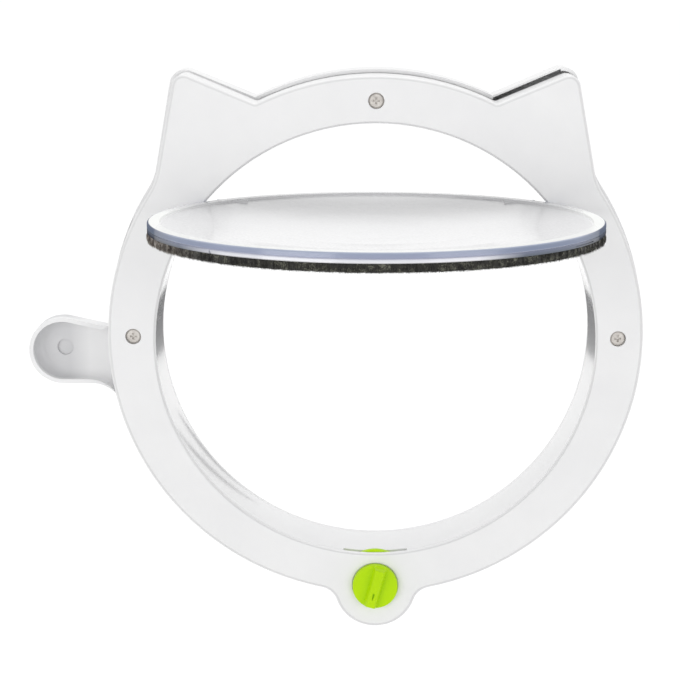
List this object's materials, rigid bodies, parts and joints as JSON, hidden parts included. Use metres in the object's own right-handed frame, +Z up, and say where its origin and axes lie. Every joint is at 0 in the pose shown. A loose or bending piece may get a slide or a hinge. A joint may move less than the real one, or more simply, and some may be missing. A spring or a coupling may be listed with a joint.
{
  "type": "cat flap",
  "caption": "Round cat flap for a door: a cat-head shaped frame around a short tunnel, a dished round flap hinged at the top with a brush seal, and a turn knob that locks it.",
  "frame": {"origin": "on the tunnel's axis, in the plane where the front frame's back rim meets the door", "axes": "+X to the right seen from the front, +Y into the door away from the viewer along the tunnel, +Z up"},
  "size_m": [0.2759, 0.184, 0.2523],
  "materials": {
    "frame_white": "satin moulded white",
    "liner_white": "polished white",
    "flap_clear": "frosted clear plastic, polished rim",
    "brush_pile": "dense dark brush pile",
    "knob_lime": "satin lime green",
    "screw_steel": "zinc plated",
    "pin_steel": "ground",
    "insert_brass": "turned",
    "bush_plastic": "natural moulded"
  },
  "bodies": {
    "frame": {"front_frame": "frame_white", "tunnel_liner": "liner_white", "rear_frame": "frame_white", "frame_screw_top": "screw_steel", "frame_screw_right": "screw_steel", "frame_screw_left": "screw_steel", "screw_insert_top": "insert_brass", "screw_insert_right": "insert_brass", "screw_insert_left": "insert_brass", "lock_back_plate": "frame_white", "lock_plate_screw_right": "screw_steel", "lock_plate_screw_left": "screw_steel", "hinge_bush_right": "bush_plastic", "hinge_bush_left": "bush_plastic"},
    "flap": {"flap_panel": "flap_clear", "brush_lower": "brush_pile", "brush_upper": "brush_pile", "hinge_pin_right": "pin_steel", "hinge_pin_left": "pin_steel"},
    "lock": {"lock_knob": "knob_lime", "cam_drum": "knob_lime", "cam_screw": "screw_steel"}
  },
  "joints": [
    {"name": "flap_swing", "type": "hinge", "parent": "frame", "child": "flap", "pos_m": [0, -0.009, 0.0608], "axis": [1, 0, 0], "range_deg": [0, 136]},
    {"name": "knob_turn", "type": "hinge", "parent": "frame", "child": "lock", "pos_m": [0, 0, -0.112], "axis": [0, 1, 0], "range_deg": [0, 45]}
  ]
}
